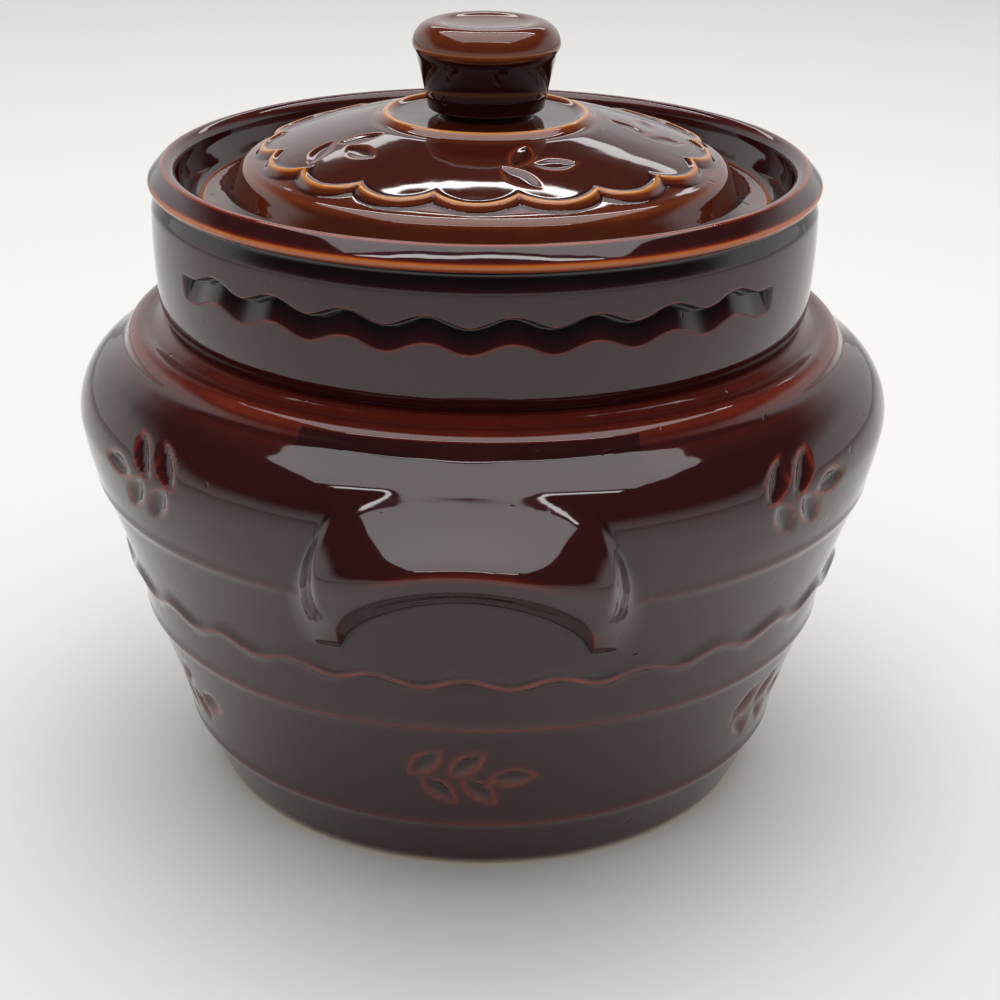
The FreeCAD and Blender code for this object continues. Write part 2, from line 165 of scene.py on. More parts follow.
def newObject(name, points, faces):
    mesh = bpy.data.meshes.new(name)
    mesh.from_pydata((np.asarray(points).reshape(-1, 3) * mm).tolist(), [], [list(face) for face in faces])
    mesh.validate()
    mesh.polygons.foreach_set("use_smooth", [True] * len(mesh.polygons))
    obj = bpy.data.objects.new(name, mesh)
    bpy.context.scene.collection.objects.link(obj)
    return obj


# A closed turned piece. With poles, the first and last rows are points on the axis.
def turnedPiece(name, grid, poles):
    rowCount, columnCount = grid.shape[:2]
    if not poles:
        return newObject(name, grid, gridFaces(rowCount, columnCount, True).tolist())
    inner = grid[1:-1]
    faces = gridFaces(rowCount - 2, columnCount, False).tolist()
    points = np.vstack((inner.reshape(-1, 3), grid[0, 0], grid[-1, 0]))
    first, last = len(points) - 2, len(points) - 1
    top = (rowCount - 3) * columnCount
    for column in range(columnCount):
        beside = (column + 1) % columnCount
        faces.append((beside, column, first))
        faces.append((top + column, top + beside, last))
    return newObject(name, points, faces)


# A value in a node tree. Arithmetic on it adds Math nodes, in geometry trees and in shading trees alike.
class Field:
    def __init__(self, tree, socket):
        self.tree = tree
        self.socket = socket

    def math(self, operation, *others):
        node = self.tree.nodes.new("ShaderNodeMath")
        node.operation = operation
        for plug, value in zip(node.inputs, (self,) + others):
            if isinstance(value, Field):
                self.tree.links.new(value.socket, plug)
            else:
                plug.default_value = value
        return Field(self.tree, node.outputs[0])

    def __add__(self, other):
        return self.math("ADD", other)

    def __sub__(self, other):
        return self.math("SUBTRACT", other)

    def __mul__(self, other):
        return self.math("MULTIPLY", other)

    def __truediv__(self, other):
        return self.math("DIVIDE", other)

    def __neg__(self):
        return self * -1.0

    def size(self):
        return self.math("ABSOLUTE")

    def atLeast(self, other):
        return self.math("MAXIMUM", other)

    def atMost(self, other):
        return self.math("MINIMUM", other)

    def squared(self):
        return self * self

    # 0 below low, 1 above high, with a soft start and end
    def rise(self, low, high):
        node = self.tree.nodes.new("ShaderNodeMapRange")
        node.interpolation_type = "SMOOTHSTEP"
        for plug, value in zip(node.inputs, (self, low, high)):
            if isinstance(value, Field):
                self.tree.links.new(value.socket, plug)
            else:
                plug.default_value = value
        return Field(self.tree, node.outputs[0])

    # 1 below low, 0 above high
    def fall(self, low, high):
        return (-self).rise(-high, -low)

    # 1 on the line, falling off to 0 on both sides of it
    def ridge(self, spread):
        return (self / spread).squared().math("MULTIPLY", -1.0).math("EXPONENT")

    # How far past the nearest of the lines that repeat at that pitch
    def wrapped(self, pitch):
        return self - (self / pitch).math("ROUND") * pitch

    # Noise runs from 0 to 1; this puts its middle at 0
    def centred(self):
        return self - 0.5


def noiseField(tree, vector, scale, detail=2.0, roughness=0.5, distortion=0.0):
    node = tree.nodes.new("ShaderNodeTexNoise")
    tree.links.new(vector, node.inputs["Vector"])
    node.inputs["Scale"].default_value = scale
    node.inputs["Detail"].default_value = detail
    node.inputs["Roughness"].default_value = roughness
    node.inputs["Distortion"].default_value = distortion
    return Field(tree, node.outputs[0])


# The glaze and the thrown wall are never quite even.
unevenForm = {
    "broadScale": 14.0,
    "broadShare": 1.6,
    "fineScale": 48.0,
    "fineShare": 0.5,
}


# What a relief's shape can be worked out from, in millimetres and radians.
class Place:
    def __init__(self, tree):
        position = tree.nodes.new("GeometryNodeInputPosition")
        split = tree.nodes.new("ShaderNodeSeparateXYZ")
        tree.links.new(position.outputs[0], split.inputs[0])
        self.tree = tree
        self.vector = position.outputs[0]
        self.x, self.y, self.z = (Field(tree, output) * (1 / mm) for output in split.outputs)
        self.radius = (self.x.squared() + self.y.squared()).math("SQRT")
        self.angle = self.x.math("ARCTAN2", -self.y)

    def noise(self, scale):
        return noiseField(self.tree, self.vector, scale, detail=1.0).centred()

    def unevenness(self, amount):
        broad = self.noise(unevenForm["broadScale"]) * unevenForm["broadShare"]
        fine = self.noise(unevenForm["fineScale"]) * unevenForm["fineShare"]
        return (broad + fine) * amount


# A relief tree moves a piece's skin by what shape() gives, outwards or upwards, and keeps how far the glaze
# there is shifted towards thin. Its sizes are the modifier's own inputs. Below a height the clay may stay bare.
def reliefTree(name, sizes, shape, upwards=False, bareBelow=None):
    tree = bpy.data.node_groups.new(name, "GeometryNodeTree")
    tree.interface.new_socket("Geometry", in_out="INPUT", socket_type="NodeSocketGeometry")
    tree.interface.new_socket("Geometry", in_out="OUTPUT", socket_type="NodeSocketGeometry")
    for label in sizes:
        tree.interface.new_socket(label, in_out="INPUT", socket_type="NodeSocketFloat")
    tree.interface.new_socket("glaze", in_out="INPUT", socket_type="NodeSocketMaterial")
    tree.interface.new_socket("bare clay", in_out="INPUT", socket_type="NodeSocketMaterial")
    given = tree.nodes.new("NodeGroupInput")
    result = tree.nodes.new("NodeGroupOutput")
    place = Place(tree)
    size = {label: Field(tree, given.outputs[label]) for label in sizes}
    proud, shift = shape(place, size)
    keep = tree.nodes.new("GeometryNodeStoreNamedAttribute")
    keep.data_type = "FLOAT"
    keep.domain = "POINT"
    keep.inputs["Name"].default_value = "glazeShift"
    tree.links.new(given.outputs["Geometry"], keep.inputs["Geometry"])
    tree.links.new(shift.socket, keep.inputs["Value"])
    offset = tree.nodes.new("ShaderNodeCombineXYZ")
    push = proud * mm
    if upwards:
        tree.links.new(push.socket, offset.inputs[2])
    else:
        away = place.radius.atLeast(0.001)  # so that nothing is divided by 0 at a pole
        tree.links.new((place.x / away * push).socket, offset.inputs[0])
        tree.links.new((place.y / away * push).socket, offset.inputs[1])
    move = tree.nodes.new("GeometryNodeSetPosition")
    tree.links.new(keep.outputs["Geometry"], move.inputs["Geometry"])
    tree.links.new(offset.outputs[0], move.inputs["Offset"])
    real = tree.nodes.new("GeometryNodeRealizeInstances")
    tree.links.new(move.outputs[0], real.inputs["Geometry"])
    paint = tree.nodes.new("GeometryNodeSetMaterial")
    tree.links.new(real.outputs[0], paint.inputs["Geometry"])
    tree.links.new(given.outputs["glaze"], paint.inputs["Material"])
    last = paint
    if bareBelow is not None:
        bare = tree.nodes.new("GeometryNodeSetMaterial")
        low = place.z.math("LESS_THAN", bareBelow)
        tree.links.new(paint.outputs[0], bare.inputs["Geometry"])
        tree.links.new(low.socket, bare.inputs["Selection"])
        tree.links.new(given.outputs["bare clay"], bare.inputs["Material"])
        last = bare
    tree.links.new(last.outputs[0], result.inputs[0])
    return tree


def relieved(obj, tree, sizes, glaze, bareClay=None):
    modifier = obj.modifiers.new("relief", "NODES")
    modifier.node_group = tree
    sockets = {item.name: item.identifier for item in tree.interface.items_tree if item.in_out == "INPUT"}
    for label, value in sizes.items():
        modifier[sockets[label]] = float(value)
    modifier[sockets["glaze"]] = glaze
    modifier[sockets["bare clay"]] = bareClay or glaze
    graph = bpy.context.evaluated_depsgraph_get()
    mesh = bpy.data.meshes.new_from_object(obj.evaluated_get(graph), depsgraph=graph)
    obj.modifiers.remove(modifier)
    old = obj.data
    obj.data = mesh
    bpy.data.meshes.remove(old)
    mesh.name = obj.name
    return obj


# Where the skin is convex the glaze runs thin and breaks to rust; in hollows it pools. The value is the mean
# curvature per millimetre, spread a little, and read by the glaze materials.
def keepBreaking(obj, hidden=None, passes=3, most=0.5, kept=0.4):
    mesh = obj.data
    count = len(mesh.vertices)
    points = np.empty(count * 3)
    mesh.vertices.foreach_get("co", points)
    points = points.reshape(-1, 3) / mm
    edges = np.empty(len(mesh.edges) * 2, int)
    mesh.edges.foreach_get("vertices", edges)
    edges = edges.reshape(-1, 2)
    shown = np.ones(count, bool) if hidden is None else ~hidden
    edges = edges[shown[edges].all(axis=1)]
    loops = np.empty(len(mesh.loops), int)
    mesh.loops.foreach_get("vertex_index", loops)
    totals = np.empty(len(mesh.polygons), int)
    mesh.polygons.foreach_get("loop_total", totals)
    starts = np.empty(len(mesh.polygons), int)
    mesh.polygons.foreach_get("loop_start", starts)
    normals = np.zeros((count, 3))
    corners = np.stack([loops[starts + np.minimum(k, totals - 1)] for k in range(4)], axis=-1)
    seen = shown[corners].all(axis=1)
    corners = corners[seen]
    a, b, c, d = (points[corners[:, k]] for k in range(4))
    facing = np.cross(c - a, d - b)
    flat = totals[seen] == 3
    facing[flat] = np.cross(b[flat] - a[flat], c[flat] - a[flat])
    for k in range(4):
        np.add.at(normals, corners[:, k], facing)
    normals /= np.maximum(np.linalg.norm(normals, axis=1, keepdims=True), 1e-9)
    here, there = edges[:, 0], edges[:, 1]
    step = points[there] - points[here]
    square = np.maximum((step * step).sum(axis=1), 1e-6)
    value = np.zeros(count)
    degree = np.zeros(count)
    np.add.at(value, here, -2 * (normals[here] * step).sum(axis=1) / square)
    np.add.at(value, there, 2 * (normals[there] * step).sum(axis=1) / square)
    np.add.at(degree, here, 1)
    np.add.at(degree, there, 1)
    degree = np.maximum(degree, 1)
    value = np.clip(value / degree, -most, most)
    for _ in range(passes):
        near = np.zeros(count)
        np.add.at(near, here, value[there])
        np.add.at(near, there, value[here])
        value = kept * value + (1 - kept) * near / degree
    layer = mesh.attributes.new("breaking", "FLOAT", "POINT")
    layer.data.foreach_set("value", value.astype(np.float32))


# Colours are given as they look, 0 to 255, and used as light.
def shade(red, green, blue):
    def light(value):
        value /= 255.0
        return value / 12.92 if value <= 0.04045 else ((value + 0.055) / 1.055) ** 2.4
    return (light(red), light(green), light(blue), 1.0)


def rampOf(tree, value, stops):
    node = tree.nodes.new("ShaderNodeValToRGB")
    node.color_ramp.interpolation = "B_SPLINE"
    entries = node.color_ramp.elements
    while len(entries) < len(stops):
        entries.new(0.5)
    for entry, (at, colour) in zip(entries, stops):
        entry.position = at
        entry.color = shade(*colour)
    tree.links.new(value.socket, node.inputs["Fac"])
    return node.outputs["Color"]


def readAttribute(tree, name):
    node = tree.nodes.new("ShaderNodeAttribute")
    node.attribute_name = name
    return Field(tree, node.outputs["Fac"])


def addBump(tree, shader, height, strength, depth):
    bump = tree.nodes.new("ShaderNodeBump")
    bump.inputs["Strength"].default_value = strength
    bump.inputs["Distance"].default_value = depth * mm
    tree.links.new(height.socket, bump.inputs["Height"])
    tree.links.new(bump.outputs["Normal"], shader.inputs["Normal"])


# Breaking glaze: where it is thick it is nearly black, where it thins it goes oxblood, rust and amber.
def glazeMaterial(name, look):
    material = bpy.data.materials.new(name)
    material.use_nodes = True
    tree = material.node_tree
    shader = tree.nodes["Principled BSDF"]
    vector = tree.nodes.new("ShaderNodeTexCoord").outputs["Object"]
    clouds = noiseField(tree, vector, look["cloudScale"], detail=4.0, roughness=0.6, distortion=0.4).centred()
    flecks = noiseField(tree, vector, look["fleckScale"], detail=3.0, roughness=0.65).centred()
    breaking = readAttribute(tree, "breaking")
    thin = (breaking + clouds * look["cloudReach"]).rise(look["thinFrom"], look["thinTo"])
    pooled = (-breaking).rise(look["poolFrom"], look["poolTo"])
    depth = (thin * look["thinGain"] - pooled * look["poolGain"] + readAttribute(tree, "glazeShift")
             + clouds * look["cloudGain"] + flecks * look["fleckGain"] + look["middle"])
    tree.links.new(rampOf(tree, depth, look["colours"]), shader.inputs["Base Color"])
    tree.links.new((flecks.size() * look["hazeGain"] + look["gloss"]).socket, shader.inputs["Roughness"])
    shader.inputs["IOR"].default_value = look["bending"]
    ripple = noiseField(tree, vector, look["rippleScale"])
    pits = noiseField(tree, vector, look["pitScale"], detail=1.0).rise(look["pitFrom"], look["pitTo"])
    addBump(tree, shader, ripple - pits * look["pitDepth"], look["rippleStrength"], look["rippleDepth"])
    return material


potGlazeLook = {
    "colours": [(0.0, (10, 5, 6)), (0.3, (38, 11, 13)), (0.5, (62, 17, 16)),
                (0.68, (116, 38, 21)), (0.85, (150, 72, 27)), (1.0, (184, 108, 42))],
    "middle": 0.32,
    "thinFrom": 0.07,
    "thinTo": 0.36,
    "thinGain": 0.42,
    "poolFrom": 0.03,
    "poolTo": 0.25,
    "poolGain": 0.26,
    "cloudScale": 26.0,
    "cloudReach": 0.06,
    "cloudGain": 0.16,
    "fleckScale": 420.0,
    "fleckGain": 0.07,
    "gloss": 0.045,
    "hazeGain": 0.08,
    "bending": 1.6,
    "rippleScale": 70.0,
    "rippleStrength": 0.35,
    "rippleDepth": 0.35,
    "pitScale": 260.0,
    "pitFrom": 0.74,
    "pitTo": 0.82,
    "pitDepth": 0.5,
}

lidGlazeLook = dict(potGlazeLook)
lidGlazeLook.update({
    "colours": [(0.0, (20, 7, 6)), (0.3, (58, 18, 12)), (0.5, (98, 40, 17)),
                (0.68, (132, 68, 24)), (0.85, (156, 92, 34)), (1.0, (188, 128, 58))],
    "middle": 0.44,
})


clayLook = {
    "colours": [(0.25, (146, 112, 68)), (0.5, (190, 156, 104)), (0.75, (212, 184, 136))],
    "grainScale": 900.0,
    "grainShare": 0.5,
    "stainScale": 60.0,
    "stainShare": 0.5,
    "dullness": 0.72,
    "dullnessGain": 0.2,
    "grainStrength": 0.5,
    "grainDepth": 0.1,
}


def clayMaterial(name, look):
    material = bpy.data.materials.new(name)
    material.use_nodes = True
    tree = material.node_tree
    shader = tree.nodes["Principled BSDF"]
    vector = tree.nodes.new("ShaderNodeTexCoord").outputs["Object"]
    grain = noiseField(tree, vector, look["grainScale"], detail=5.0, roughness=0.7)
    stain = noiseField(tree, vector, look["stainScale"], detail=3.0, roughness=0.6)
    mixed = grain * look["grainShare"] + stain * look["stainShare"]
    tree.links.new(rampOf(tree, mixed, look["colours"]), shader.inputs["Base Color"])
    tree.links.new((grain * look["dullnessGain"] + look["dullness"]).socket, shader.inputs["Roughness"])
    addBump(tree, shader, grain, look["grainStrength"], look["grainDepth"])
    return material


potGlaze = glazeMaterial("pot glaze", potGlazeLook)
lidGlaze = glazeMaterial("lid glaze", lidGlazeLook)
bareClay = clayMaterial("bare clay", clayLook)
print("materials made")


# The pot, foot to rim. Its ribs are added by the relief, so the wall is plain here.
potForm = {
    "underside": [(0.0, 2.6), (59.5, 2.5), (61.2, 0.0), (68.9, 0.0, 0.3), (69.6, 0.4), (70.0, 1.5)],
    "outside": [(70.0, 1.5), (76.6, 16.0, -0.6), (86.4, 46.8, -0.7), (96.6, 81.5, 0.4), (100.0, 97.0, 2.1),
                (92.3, 110.2), (88.2, 113.2, 2.5), (81.4, 116.8), (77.6, 119.4)],
    "inside": [(72.0, 116.0, -1.5), (85.7, 105.6, -1.3), (93.4, 95.0), (90.0, 81.5), (79.8, 46.8),
               (70.0, 16.5, -2.1), (63.0, 9.5), (0.0, 9.5)],
    "neck": [(77.6, 119.4), (79.2, 122.2, 0.5), (80.2, 146.5), (78.7, 150.4), (80.5, 151.1),
             (81.0, 152.4, 0.1), (77.4, 156.2, 1.3), (73.8, 152.6), (71.6, 146.3), (70.1, 144.8),
             (63.5, 144.8), (63.5, 142.0), (73.6, 134.0), (73.6, 122.2), (72.0, 116.0)],
    # how far the corners of each outline are rounded
    "ease": {"underside": 0.35, "outside": 0.6, "inside": 1.2, "neck": 0.45},
    # how many rows a stretch has, and how much they crowd where it bends
    "rows": {"underside": (14, 1.5), "belly": (60, 1.0), "shoulder": (78, 0.0), "root": (8, 1.0),
             "inside": (16, 1.0)},
    # where a stretch of the neck's rows starts along its outline, and how many rows it has
    "neckStretches": [((77.6, 119.4), 13), ((80.0, 132.0), 34), ((80.1, 142.4), 5), ((80.2, 145.8), 24),
                      ((81.0, 152.4), 24), ((73.8, 152.6), 10), ((70.1, 144.8), 8), ((63.5, 142.0), 9)],
    "neckColumns": 640,
    "columnsPerQuarter": 142,
    # degrees from a lug's middle between which the columns are closer together, and by how much
    "crowds": [(14.0, 22.0, 2.0), (-2.0, 12.0, 0.7)],
    "crowdEdge": 1.5,
    # where the skin of a lug takes over from the pot's, and how far the wall steps in behind it
    "patchFrom": 65.0,
    "patchTo": 116.0,
    "patchHalfAngle": 24.5,
    "recess": 1.0,
    # up to here the foot is wiped clean of glaze
    "bareBelow": 1.6,
}

# Tables give a height and then a value there. A sweep is how far round the pot a point is from the lug's
# middle, in degrees.
lugForm = {
    "lipHeight": 98.3,
    "lipRadius": 113.7,
    "lipDroop": 9.2,
    "lipSweep": 15.6,
    "lipRound": 5.0,
    "roofSteepness": 0.41,
    "roofReach": (84.0, 120.0, 145),  # radii between which the roof is worked out, and in how many steps
    "droopFrom": 96.0,
    "droopShort": 3.0,  # the droop is full this far inside the lip
    "droopMost": 1.2,
    "droopPower": 1.4,
    "endDroop": 5.2,
    "endSweep": 16.6,
    "endMost": 1.1,  # the share of endSweep past which the ends droop no further
    "endPower": 9,
    "rootRise": 0.014,
    "rootFrom": 107.0,
    "rootSweep": 13.0,
    "front": [(64.0, 90.6), (70.2, 94.3), (75.0, 98.4), (80.0, 102.5), (85.0, 106.3), (90.0, 109.8),
              (93.0, 111.7), (97.6, 113.7), (106.0, 115.6)],
    "archTop": 93.0,
    "archFoot": 69.5,
    "archSweep": 17.0,
    "archPower": 0.65,
    "archSteepness": 1.75,
    "archRound": 1.6,
    # height, the sweep at which the flank meets the wall, and its steepness
    "flank": [(62.0, 20.6, 0.5), (72.0, 21.2, 0.6), (79.0, 21.4, 1.0), (87.0, 20.3, 2.2), (95.0, 18.9, 3.4),
              (100.0, 17.2, 3.0), (108.0, 14.8, 2.4)],
    "flankRadius": 104.0,
    "flankRounds": [(70.0, 1.5), (78.0, 4.5), (86.0, 8.0), (93.0, 6.0), (100.0, 4.5)],
    "fillets": [(66.0, 2.0), (76.0, 6.0), (88.0, 8.0), (95.0, 5.0), (104.0, 3.0)],
    # the fillet is smaller under the arch than at the flanks
    "underFillet": 0.7,
    "filletSweeps": (15.5, 18.5),
    "backDepth": 0.5,  # how far the lug's back lies inside the wall
    "breakingPasses": 4,
}


def softMost(a, b, reach):
    meet = np.maximum(reach - np.abs(a - b), 0) / reach
    return np.maximum(a, b) + meet * meet * reach / 4


def softLeast(a, b, reach):
    return -softMost(-a, -b, reach)


# A value from a table of heights, with its corners rounded off over a few millimetres either way
def tableAt(height, table, column=1, steps=3):
    table = np.array(table)
    shifts = range(-steps, steps + 1)
    return sum(np.interp(height + shift, table[:, 0], table[:, column]) for shift in shifts) / len(shifts)


# How far out the skin is at a height and a sweep. The lug is bounded by its roof, which runs from the shoulder
# out to a drooping lip, by a leaning front, by the arch under it and by its flanks; every edge is rounded.
def lugReach(height, sweep, wallRadius, form):
    out = np.linspace(*form["roofReach"])
    level = form["lipHeight"] + (form["lipRadius"] - out) * form["roofSteepness"]
    droopRun = form["lipRadius"] - form["droopFrom"] - form["droopShort"]
    drooping = np.clip((out - form["droopFrom"]) / droopRun, 0, form["droopMost"]) ** form["droopPower"]
    rising = form["rootRise"] * np.maximum(form["rootFrom"] - out, 0) ** 2
    roof = np.empty(np.broadcast_shapes(height.shape, sweep.shape))
    for column, along in enumerate(sweep[0]):
        drop = form["lipDroop"] * (along / form["lipSweep"]) ** 2
        drop += form["endDroop"] * min(along / form["endSweep"], form["endMost"]) ** form["endPower"]
        top = level - drooping * drop
        top = top + rising * max(1 - (along / form["rootSweep"]) ** 2, 0)
        roof[:, column] = np.interp(height[:, 0], top[::-1], out[::-1])
    front = tableAt(height, form["front"])
    nearlyNone = 1e-4
    share = np.clip(1 - (sweep / form["archSweep"]) ** 2, nearlyNone, 1) ** form["archPower"]
    arch = form["archFoot"] + (form["archTop"] - form["archFoot"]) * share
    under = tableAt(arch, form["front"]) + (height - arch) * form["archSteepness"]
    foot, steepness = tableAt(height, form["flank"]), tableAt(height, form["flank"], 2)
    flank = wallRadius + np.radians(foot - sweep) * form["flankRadius"] * steepness
    lug = softLeast(roof, front, form["lipRound"])
    lug = softLeast(lug, under, form["archRound"])
    lug = softLeast(lug, flank, tableAt(height, form["flankRounds"]))
    fuller = np.interp(sweep, form["filletSweeps"], (form["underFillet"], 1.0))
    return softMost(wallRadius, lug, tableAt(height, form["fillets"]) * fuller)


def lugSurface(radius, height, angles, form):
    sweep = np.abs(np.degrees(angles))[None, :]
    reach = lugReach(height[:, None], sweep, radius[:, None], form)
    up = height[:, None] * np.ones_like(reach)
    return np.stack((reach * np.sin(angles), -reach * np.cos(angles), up), axis=-1)


# The same points, nearer to the pot's axis
def steppedIn(points, depth):
    away = np.hypot(points[..., 0], points[..., 1])[..., None]
    return points * np.concatenate([(away - depth) / away] * 2 + [np.ones_like(away)], axis=-1)


# Columns of the pot, closer together where a lug's flanks and middle are.
def potAngles(form):
    fine = np.linspace(0, 90, 3601)
    edge = form["crowdEdge"]
    crowd = np.ones_like(fine)
    for low, high, more in form["crowds"]:
        crowd += more * np.clip((fine - low) / edge, 0, 1) * np.clip((high - fine) / edge, 0, 1)
    travel = np.concatenate(([0.0], np.cumsum((crowd[1:] + crowd[:-1]) / 2)))
    quarter = np.interp(np.linspace(0, travel[-1], form["columnsPerQuarter"] + 1), travel, fine)
    there, back = quarter[:-1], quarter[::-1][:-1]
    return np.radians(np.concatenate((there, 180 - back, 180 + there, 360 - back)))


# The pot's grid below the neck, and the skin of a lug on the columns and rows that it takes over.
def buildPot(form, lug, ribHeights):
    ease, rows = form["ease"], form["rows"]
    outside = eased(traced(form["outside"]), ease["outside"])
    low, high = firstAbove(outside, form["patchFrom"]), firstAbove(outside, form["patchTo"])
    stretches = [
        rowsAlong(eased(traced(form["underside"]), ease["underside"]), *rows["underside"]),
        rowsAlong(outside[:low + 1], *rows["belly"], near=ribHeights)[1:],
        rowsAlong(outside[low:high + 1], *rows["shoulder"])[1:],
        rowsAlong(outside[high:], *rows["root"])[1:],
        rowsAlong(eased(traced(form["inside"]), ease["inside"]), *rows["inside"]),
    ]
    starts = np.cumsum([0] + [len(stretch) for stretch in stretches])
    outline = np.vstack(stretches)
    angles = potAngles(form)
    grid = turnedGrid(outline, angles)
    patchRows = np.arange(starts[2] - 1, starts[3])
    quarter = np.degrees(angles[:form["columnsPerQuarter"]])
    half = int(np.argmin(np.abs(quarter - form["patchHalfAngle"])))
    middle = np.arange(-half, half + 1)
    columns = {"front": middle, "rear": middle + len(angles) // 2}
    turned = np.where(middle < 0, angles[middle] - 2 * math.pi, angles[middle])
    skin = lugSurface(outline[patchRows, 0], outline[patchRows, 1], turned, lug)
    wall = grid[np.ix_(patchRows, middle % len(angles))].copy()
    hidden = np.zeros(grid.shape[:2], bool)
    for taken in columns.values():
        region = np.ix_(patchRows[1:-1], taken[1:-1] % len(angles))
        grid[region] = steppedIn(grid[region], form["recess"])
        hidden[region] = True
    hidden = np.concatenate((hidden[1:-1].reshape(-1), [False, False]))  # as the turned piece's points run
    return {"outline": outline, "angles": angles, "grid": grid, "hidden": hidden, "wall": wall, "skin": skin,
            "patchRows": patchRows, "columns": columns}


def patchFaces(index):
    corners = (index[:-1, :-1], index[:-1, 1:], index[1:, 1:], index[1:, :-1])
    return np.stack(corners, axis=-1).reshape(-1, 4).tolist()


# A lug's mesh: the skin in front and a shallow back just inside the pot's wall, joined along their rim.
def lugPiece(name, pot, depth, turnedRound=False):
    skin, back = pot["skin"], steppedIn(pot["wall"], depth)[1:-1, 1:-1]
    points = np.concatenate((skin.reshape(-1, 3), back.reshape(-1, 3)))
    if turnedRound:
        points = points * (-1, -1, 1)
    skinCount = skin.shape[0] * skin.shape[1]
    ahead = np.arange(skinCount).reshape(skin.shape[:2])
    behind = ahead.copy()
    behind[1:-1, 1:-1] = np.arange(skinCount, len(points)).reshape(back.shape[:2])
    front = patchFaces(ahead)
    shared = {tuple(sorted(face)) for face in front}  # at a corner of the patch both have the same face
    rear = [[a, d, c, b] for a, b, c, d in patchFaces(behind) if tuple(sorted((a, b, c, d))) not in shared]
    return newObject(name, points, front + rear), np.arange(len(points)) >= skinCount


# Pressed leaves. A leaf is (across, up, slant in degrees, length, width) in its twig's own plane. A leaf's lens
# is 1 in its middle and 0 on its edge. Gives how far the clay is pressed in, and where the glaze thins.
leafPress = {"from": -0.2, "to": 0.75, "edgeOut": 0.12}


def pressedLeaves(across, up, leaves, edgeSpread):
    deepest = None
    for leafAcross, leafUp, slant, length, width in leaves:
        lean = math.radians(slant)
        sideways, rise = across - leafAcross, up - leafUp
        along = (sideways * math.cos(lean) + rise * math.sin(lean)) * (2.0 / length)
        wide = (rise * math.cos(lean) - sideways * math.sin(lean)) * (2.0 / width)
        lens = -(along.squared() + wide.size() - 1.0)
        deepest = lens if deepest is None else deepest.atLeast(lens)
    pressed = deepest.rise(leafPress["from"], leafPress["to"])
    return pressed, (deepest + leafPress["edgeOut"]).ridge(edgeSpread)


# A twig of paired leaves with one at its tip, lying along the band that carries it. The shares are of a leaf's
# length, and for the stagger of the spacing.
twigForm = {"asideShare": 0.42, "staggerShare": 0.3, "tipShare": 0.1, "tipSlant": 6.0}


def twigOf(pairs, spacing, leaf, width, lean):
    leaves = []
    aside = leaf * twigForm["asideShare"]
    for place in range(pairs):
        along = (place - pairs / 2) * spacing
        leaves.append((along, aside, 90.0 - lean, leaf, width))
        leaves.append((along + spacing * twigForm["staggerShare"], -aside, lean - 90.0, leaf, width))
    tip = pairs / 2 * spacing + leaf * twigForm["tipShare"]
    leaves.append((tip, 0.0, twigForm["tipSlant"], leaf, width))
    return leaves


twigs = {
    "band": twigOf(pairs=2, spacing=9.6, leaf=10.4, width=4.6, lean=44.0),
    "shoulder": twigOf(pairs=2, spacing=9.0, leaf=12.0, width=5.4, lean=36.0),
    "neck": twigOf(pairs=2, spacing=6.0, leaf=7.4, width=3.6, lean=36.0),
    "lid": twigOf(pairs=1, spacing=8.0, leaf=11.0, width=5.0, lean=36.0),
}

# A thinning shifts the glaze towards rust and amber, and a darkening or a painted shade towards black.
ribRelief = {
    "foot rib height": 16.0,
    "lower rib height": 46.8,
    "upper rib height": 81.5,
    "rib rise": 0.45,
    "rib spread": 1.25,
    "rib thinning": 0.1,
    "wave height": 60.4,
    "wave swing": 1.25,
    "wave count": 28.0,
    "wave rise": 1.1,
    "wave spread": 1.5,
    "wave thinning": 0.03,
    "lug side": math.radians(20.0),
    "lug clear": math.radians(24.5),
    "unevenness": 0.22,
}


# The plain ribs and the wavy one. The upper rib dies out where a lug stands.
def ribs(place, size):
    clear = place.angle.wrapped(math.pi).size().rise(size["lug side"], size["lug clear"])
    plain = ((place.z - size["foot rib height"]).ridge(size["rib spread"])
             + (place.z - size["lower rib height"]).ridge(size["rib spread"])
             + (place.z - size["upper rib height"]).ridge(size["rib spread"]) * clear)
    wave = size["wave height"] + (place.angle * size["wave count"]).math("COSINE") * size["wave swing"]
    wavy = (place.z - wave).ridge(size["wave spread"])
    rise = plain * size["rib rise"] + wavy * size["wave rise"]
    return rise, plain * size["rib thinning"] + wavy * size["wave thinning"]


def lugShape(place, size):
    rise, thinner = ribs(place, size)
    return rise + place.unevenness(size["unevenness"]), thinner


bodyRelief = dict(ribRelief)
bodyRelief.update({
    "twig depth": 1.15,
    "band twig height": 31.0,
    "band twig pitch": math.radians(60.0),
    "band twig edge": 0.5,
    "band twig thinning": 0.3,
    "band radius": 81.5,
    "band slant": 1.05,
    "shoulder twig height": 98.0,
    "shoulder twig turn": math.radians(48.0),
    "shoulder twig edge": 0.22,
    "shoulder twig thinning": 0.32,
    "shoulder radius": 99.0,
    "shoulder slant": 1.1,
    # the shoulder's top under the neck is made lighter: partly thin glaze on its roll, partly a painted sheen
    "root thinning and painted sheen": 0.2,
})

# radii or heights between which each part of the body's relief comes in
bodyZones = {"outside": (68.0, 69.5), "band": (17.0, 19.0), "shoulder": (108.0, 112.0), "root": (109.0, 115.0)}


